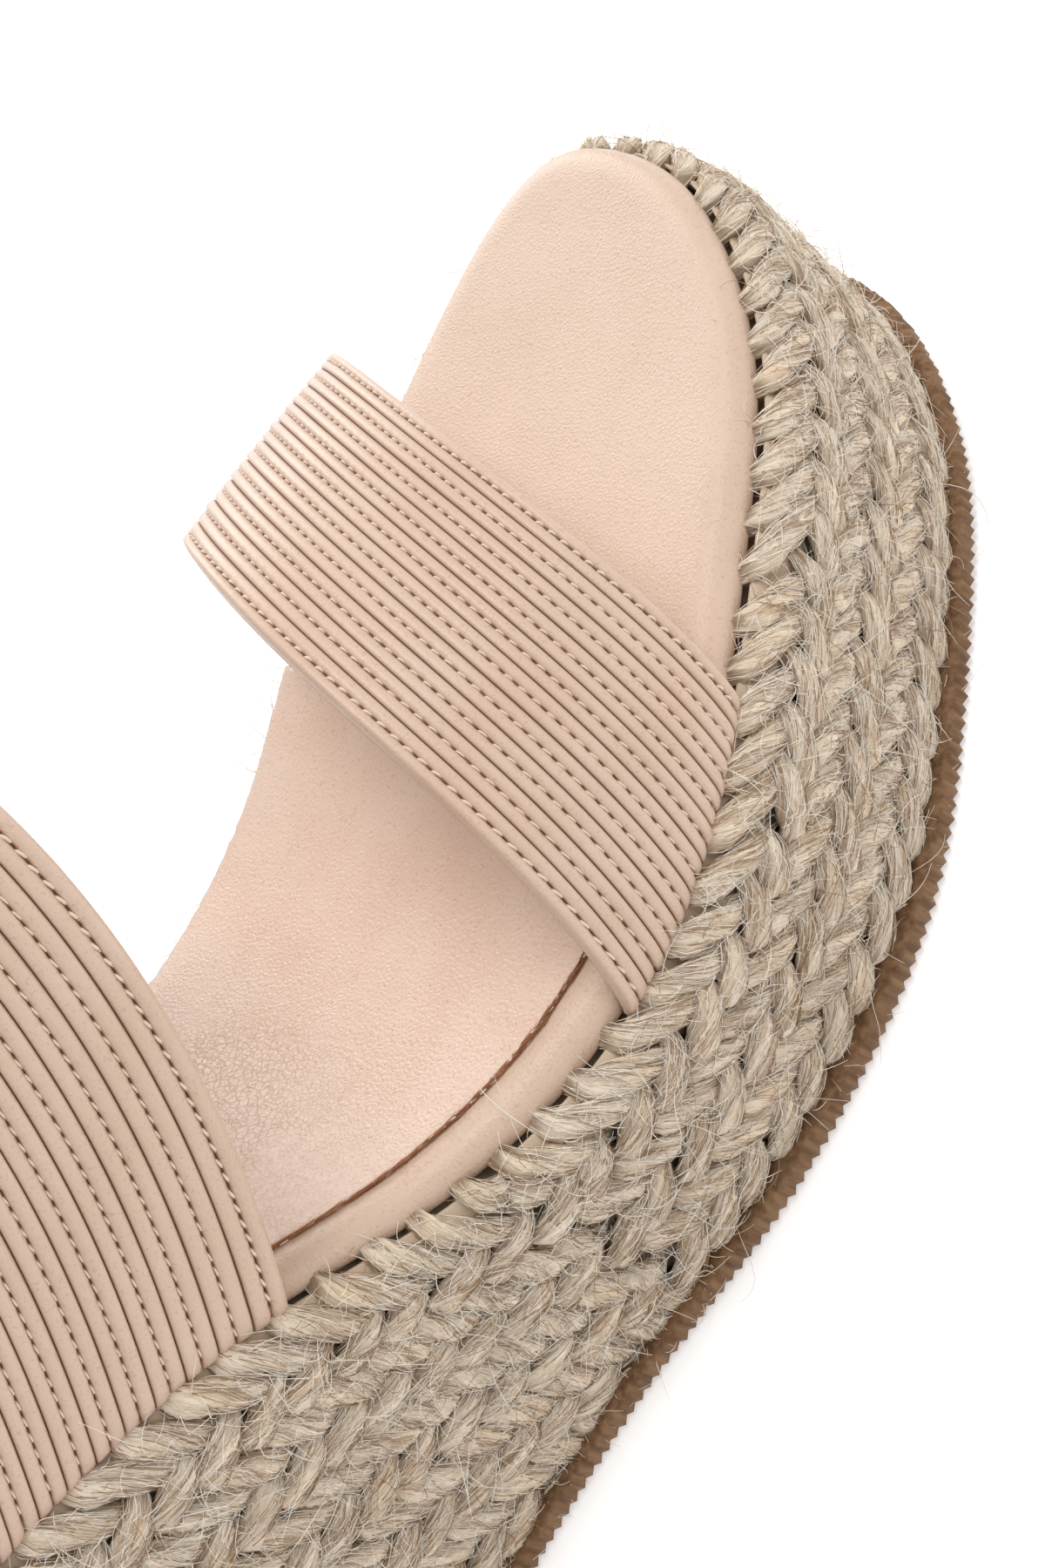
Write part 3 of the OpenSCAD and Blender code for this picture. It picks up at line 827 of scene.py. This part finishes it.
def lining(label, shape, a):
    a = a[::6]
    v_out, v_in = np.linspace(0.015, 0.985, 31), np.linspace(0.985, 0.015, 31)
    loops = []
    for v, t in ((v_out, LINING_T - 0.02), (v_in, 0.0)):
        aa, vv = np.meshgrid(a, v, indexing="ij")
        loops.append(strap_point(shape, aa, vv, np.full(aa.shape, t)))
    body = np.concatenate(loops, 1)
    caps = []
    for side in (1, -1):
        far = np.concatenate([margin(shape, side, v_out, -6, 6.05), margin(shape, side, v_in, -6, 5.6)])
        near = np.concatenate([margin(shape, side, v_out, 0.5, 6.05), margin(shape, side, v_in, 0.1, 5.6)])
        caps.append([far, near])
    loops = np.stack([caps[0][0], caps[0][1], *body, caps[1][1], caps[1][0]])
    mesh_piece(
        f"{label}_strap_lining", loops.reshape(-1, 3), grid_faces(len(loops), loops.shape[1], wrap_cols=True),
        LINING, nodes=[f"{label}_lining"],
    )


def stitches(label, shape, lengths, angles):
    """Running stitches in every second groove; the two next to the edges are heavier."""
    total = lengths[-1]
    n = shape["ribs"]
    paths, radii = [], []
    for groove in range(1, n, 2):
        heavy = groove in (1, n - 1)
        count = int(total / STITCH_PITCH) - 2
        s0 = (np.arange(1, count + 1) - 0.37 * groove % 1) * STITCH_PITCH
        s0 = s0[s0 > 1.5] + rng.normal(0, 0.05, np.count_nonzero(s0 > 1.5))
        t = np.linspace(0, 1, 7)
        s = s0[:, None] + t[None] * STITCH_PITCH * (STITCH_SHARE + 0.1)
        lean = (0.16 if heavy else 0.09) * (t - 0.5)[None]
        v = (groove + lean + rng.normal(0, 0.02, (len(s0), 1))) / n
        rise = np.sin(math.pi * t)[None] ** 0.6
        height = LEATHER_BASE + 0.25 + RIB_HEIGHT * (0.3 + (0.55 if heavy else 0.42) * rise)
        a = np.interp(s, lengths, angles)
        paths.append(strap_point(shape, a, np.broadcast_to(v, a.shape), np.broadcast_to(height, a.shape)))
        radii.append(np.full(len(s0), 0.19 if heavy else 0.145))
    paths, radii = np.concatenate(paths), np.concatenate(radii)
    profile = np.array([0.6, 0.95, 1, 1, 1, 0.95, 0.6])[None]
    points, faces = tubes(paths, radii[:, None] * profile, sides=6)
    mesh_piece(f"{label}_strap_stitches", points, faces, THREAD, nodes=[f"{label}_thread"])


# ---------------------------------------------------------------- footbed
def rim_ring(reach, drop, half_count=280):
    """Points round the footbed, starting at the heel, by pairs of equal stations."""
    u = np.linspace(0, TURNS / 2, half_count + 1)
    u = np.concatenate([u, -u[-2:0:-1]])
    p = edge(u, np.full(len(u), reach))
    z = footbed(p[:, 1]) - dish(p[:, 0], p[:, 1]) - drop
    return np.column_stack([p, z])


def skin_patch(ring, drop, cols=70):
    """Grid across the footbed between the two sides of a ring: points inside it, and faces."""
    half_count = len(ring) // 2
    index = np.zeros((half_count - 1, cols), int)
    right, left = np.arange(1, half_count), len(ring) - np.arange(1, half_count)
    w = np.linspace(0, 1, cols)[None, :, None]
    flat = mix(ring[right][:, None], ring[left][:, None], w)
    flat[..., 2] = footbed(flat[..., 1]) - dish(flat[..., 0], flat[..., 1]) - drop
    inner = flat[:, 1:-1].reshape(-1, 3)
    index[:, 0], index[:, -1] = right, left
    index[:, 1:-1] = len(ring) + np.arange(len(inner)).reshape(half_count - 1, cols - 2)
    quads = np.stack([index[:-1, :-1], index[:-1, 1:], index[1:, 1:], index[1:, :-1]], -1).reshape(-1, 4)
    tips = []
    for row, tip, turn in ((index[0], 0, 1), (index[-1], half_count, -1)):
        fan = np.stack([np.full(cols - 1, tip), row[1:], row[:-1]], -1)
        tips.append(fan[:, ::turn])
    return inner, quads, np.concatenate(tips)


def padded_shell(profile, inner_drop, outer_drop):
    """Closed shell: a skin across the top, the profile round the rim, and a skin beneath."""
    rings = [rim_ring(reach, drop) for reach, drop in profile]
    n = len(rings[0])
    points, quads, tris = [], [], []
    walls = grid_faces(len(rings), n, wrap_cols=True)[:, ::-1]
    top, top_quads, top_tris = skin_patch(rings[0], outer_drop)
    low, low_quads, low_tris = skin_patch(rings[-1], inner_drop)
    points = np.concatenate([*rings, top, low])
    ring_count, top_count = len(rings) * n, len(top)

    def place(f, first, start):
        return np.where(f < n, f + first, f - n + start)

    quads = [walls, place(top_quads, 0, ring_count),
             place(low_quads, (len(rings) - 1) * n, ring_count + top_count)[:, ::-1]]
    low = place(low_tris, (len(rings) - 1) * n, ring_count + top_count)[:, ::-1]
    tris = [place(top_tris, 0, ring_count), low]
    return points, [np.concatenate(quads), np.concatenate(tris)]


def cover():
    """Padded cover over the rim and under the board, and the dished foam inside it."""
    rim = [(-6, 0), (-4.6, 0.02), (-3.4, 0.12), (-2.4, 0.36), (-1.6, 0.75), (-0.95, 1.3),
           (-0.45, 2.0), (-0.12, 2.8),
           (0, 3.6), (-0.1, 4.4), (-0.6, 5.1), (-1.6, 5.5), (-8, 5.5), (-8, 4.7), (-1.7, 4.6), (-0.95, 3.1),
           (-1.7, 1.5), (-4.2, 1.0)]
    points, faces = padded_shell(rim, 1.0, 0)
    piece = mesh_piece(
        "footbed_cover_leather", points, faces, COVER,
        nodes=["footbed_cover"], closed=True,
    )
    points, faces = padded_shell([(-4.4, 1.08), (-1.9, 1.62), (-1.15, 3.0), (-4.4, 3.05)], 3.05, 1.08)
    level = footbed(points[:, 1]) - 3.08
    points[:, 2] = np.maximum(points[:, 2], level)
    pad = mesh_piece("footbed_pad", points, faces, FOAM, nodes=["footbed_foam"], closed=True)


SOCK_T = 0.7


def sock_outline(inset, count=260):
    """Left and right edges of the sock lining by rows from the heel to its front edge."""
    y = mix(-HALF + inset + 0.02, SOCK_FRONT - inset + SOCK_INSET, np.linspace(0, 1, count) ** 1.8)
    right = np.interp(y, *side_table(1, -inset))
    left = np.interp(y, *side_table(-1, SOCK_INSET - SOCK_INSET_MEDIAL - inset))
    return y, left, right


def sock_top(x, y, lift):
    return footbed(y) - dish(x, y) + lift


def sock():
    y, left, right = sock_outline(SOCK_INSET)
    rough = 0.12 * np.sin(y * 2.9) * np.sin(y * 1.3 + 1) + rng.normal(0, 0.05, len(y))
    left, right = left - rough, right + rough[::-1]
    w = np.linspace(0, 1, 90)
    x = mix(left[:, None], right[:, None], w[None])
    front = 3 * np.sin(math.pi * w)[None] * smooth(0.6, 1, np.linspace(0, 1, len(y)))[:, None]
    yy = y[:, None] + front
    round_edge = 0.22 * np.exp(-np.minimum(w, 1 - w) * 90)[None]
    top = np.stack([x, yy, sock_top(x, yy, SOCK_T) - round_edge], -1)
    under = np.stack([x, yy, sock_top(x, yy, 0.03)], -1)
    rows, cols = x.shape
    grid = grid_faces(rows, cols)
    n = rows * cols
    loop = np.concatenate([
        np.arange(cols), np.arange(1, rows) * cols + cols - 1,
        np.arange(cols - 2, -1, -1) + (rows - 1) * cols, np.arange(rows - 2, 0, -1) * cols
    ])
    nxt = np.roll(loop, -1)
    rim = np.stack([loop, nxt, nxt + n, loop + n], -1)[:, ::-1]
    piece = mesh_piece(
        "sock_lining_leather", np.concatenate([top.reshape(-1, 3), under.reshape(-1, 3)]),
        np.concatenate([grid, grid[:, ::-1] + n, rim]), SOCK, nodes=["sock_lining"],
    )
    piece.data.materials.append(RAW_EDGE)
    index = np.zeros(len(piece.data.polygons), np.int32)
    index[len(grid) * 2:] = np.where(np.arange(len(rim)) < cols + rows - 1, 1, 0)
    piece.data.polygons.foreach_set("material_index", index)
    raw_edge_fibres()


def raw_edge_fibres():
    """Torn backing fibres along the sock lining's cut edge, with a few caught stitches."""
    y, _, right = sock_outline(SOCK_INSET)
    length = np.concatenate([[0], np.cumsum(np.hypot(np.diff(right), np.diff(y)))])
    for name, tone, count, radius in (
        ("sock_edge_fibres", RAW_EDGE, 2400, 0.055), ("sock_edge_stitches", THREAD, 110, 0.11)
    ):
        fibres = tone is RAW_EDGE
        s0 = rng.uniform(0, length[-1], count) if fibres else np.linspace(2, length[-1] - 2, count)
        reach = rng.uniform(0.8, 2.6, count) if fibres else np.full(count, 0.9)
        t = np.linspace(0, 1, 5)[None]
        s = np.clip(s0[:, None] + reach[:, None] * t, 0, length[-1])
        py = np.interp(s, length, y)
        px = np.interp(s, length, right)
        off = rng.normal(0.0, 0.1, (count, 1)) + rng.normal(0, 0.12, (count, 1)) * t
        lift = SOCK_T * rng.uniform(0.1, 1.05, (count, 1)) + rng.normal(0, 0.12, (count, 1)) * t
        px = px + off
        paths = np.stack([px, py, sock_top(px, py, lift)], -1)
        points, faces = tubes(paths, radius * rng.uniform(0.6, 1.2, (len(paths), 1)), sides=4)
        nodes = () if fibres else ["sock_thread"]
        mesh_piece(name, points, faces, tone, nodes=nodes)


# ---------------------------------------------------------------- outsole
TOOTH_PITCH, TOOTH_DEPTH = 1.95, 0.8


def outsole():
    """Thin rubber sole with a pinked edge; the teeth run down its side as ribs."""
    u = np.linspace(0, TURNS, 4001)
    p = edge(u, np.full(u.shape, SOLE_REACH))
    length = np.concatenate([[0], np.cumsum(np.linalg.norm(np.diff(p, axis=0), axis=1))])
    teeth = round(length[-1] / TOOTH_PITCH)
    per_tooth = 8
    s = np.arange(teeth * per_tooth) / (teeth * per_tooth) * length[-1]
    u = np.interp(s, length, u)
    phase = (s / length[-1] * teeth) % 1
    worn = rng.uniform(0.75, 1.0, teeth)[np.minimum((s / length[-1] * teeth).astype(int), teeth - 1)]
    point = 1 - np.abs(2 * phase - 1)
    rings = []
    for inset, z, tooth in ((9, SOLE, 0), (1.6, SOLE, 0), (0.35, SOLE - 0.03, 0.9), (0.05, SOLE - 0.3, 1),
                            (0, SOLE / 2, 1), (0.05, 0.3, 1), (0.5, 0, 0.9), (9, 0, 0)):
        reach = SOLE_REACH - inset - TOOTH_DEPTH * tooth * (1 - point * worn)
        q = edge(u, reach)
        rings.append(np.column_stack([q, z + spring(q[:, 1])]))
    n = len(s)
    walls = grid_faces(len(rings), n, wrap_cols=True)[:, ::-1]
    lid = np.arange(n)[None]
    points = np.concatenate(rings)
    mesh_piece(
        "outsole_rubber", points, [walls, lid, lid[:, ::-1] + (len(rings) - 1) * n], RUBBER,
        nodes=["outsole"], closed=True,
    )


# ---------------------------------------------------------------- stage
def carried_over():
    looks = {}
    for name in ("wedge_core", "bottom_filler", "insole_board"):
        looks[name] = FOAM
    for name, mat in looks.items():
        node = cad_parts[name]
        node.data.materials.clear()
        node.data.materials.append(mat)


def stage():
    white = material("studio_floor", (0.9, 0.9, 0.9), 0.9, Emission_Color=(1, 1, 1, 1), Emission_Strength=0.4)
    bpy.ops.mesh.primitive_plane_add(size=8, location=(0, 0, cad_box[0][2] - 0.0004))
    floor = bpy.context.object
    floor.name = "floor"
    floor.data.materials.append(white)
    world = bpy.data.worlds.new("studio")
    bpy.context.scene.world = world
    world.use_nodes = True
    world.node_tree.nodes["Background"].inputs["Color"].default_value = (1, 1, 1, 1)
    world.node_tree.nodes["Background"].inputs["Strength"].default_value = 0.52
    softbox("top_box", (0.0, 0.3, 1.1), (0, 0.03, 0.05), 0.55, 6.0)
    softbox("inner_box", (-0.75, 0.5, 0.42), (0, 0.03, 0.05), 0.5, 3.4)
    softbox("outer_box", (0.8, 0.5, 0.6), (0, 0.03, 0.05), 0.5, 1.5)


def softbox(name, place, target, size, power):
    light = bpy.data.lights.new(name, "AREA")
    light.shape = "SQUARE"
    light.size = size
    light.energy = power
    lamp = bpy.data.objects.new(name, light)
    lamp.location = place
    lamp.rotation_euler = (Vector(target) - Vector(place)).to_track_quat("-Z", "Y").to_euler()
    bpy.context.scene.collection.objects.link(lamp)


def camera():
    """Close view from the outer side, a little over forty degrees up, turned in its own plane."""
    place = Vector((0.2132, 0.0011, 0.2073))
    target = Vector((0.0205, 0.0332, 0.0399))
    data = bpy.data.cameras.new("camera")
    data.sensor_width = 36
    data.lens = 46.25
    data.clip_start = 0.01
    cam = bpy.data.objects.new("camera", data)
    toward = (target - place).normalized()
    right = toward.cross(Vector((0, 0, 1))).normalized()
    up = right.cross(toward)
    roll = math.radians(300.2)
    turned = right * math.cos(roll) + up * math.sin(roll)
    above = up * math.cos(roll) - right * math.sin(roll)
    cam.matrix_world = Matrix((
        (turned.x, above.x, -toward.x, place.x), (turned.y, above.y, -toward.y, place.y),
        (turned.z, above.z, -toward.z, place.z), (0, 0, 0, 1),
    ))
    bpy.context.scene.collection.objects.link(cam)
    bpy.context.scene.camera = cam


carried_over()
make_jute()
strap("front")
strap("rear")
cover()
sock()
outsole()
stage()
camera()
bpy.context.scene.view_settings.view_transform = "Standard"
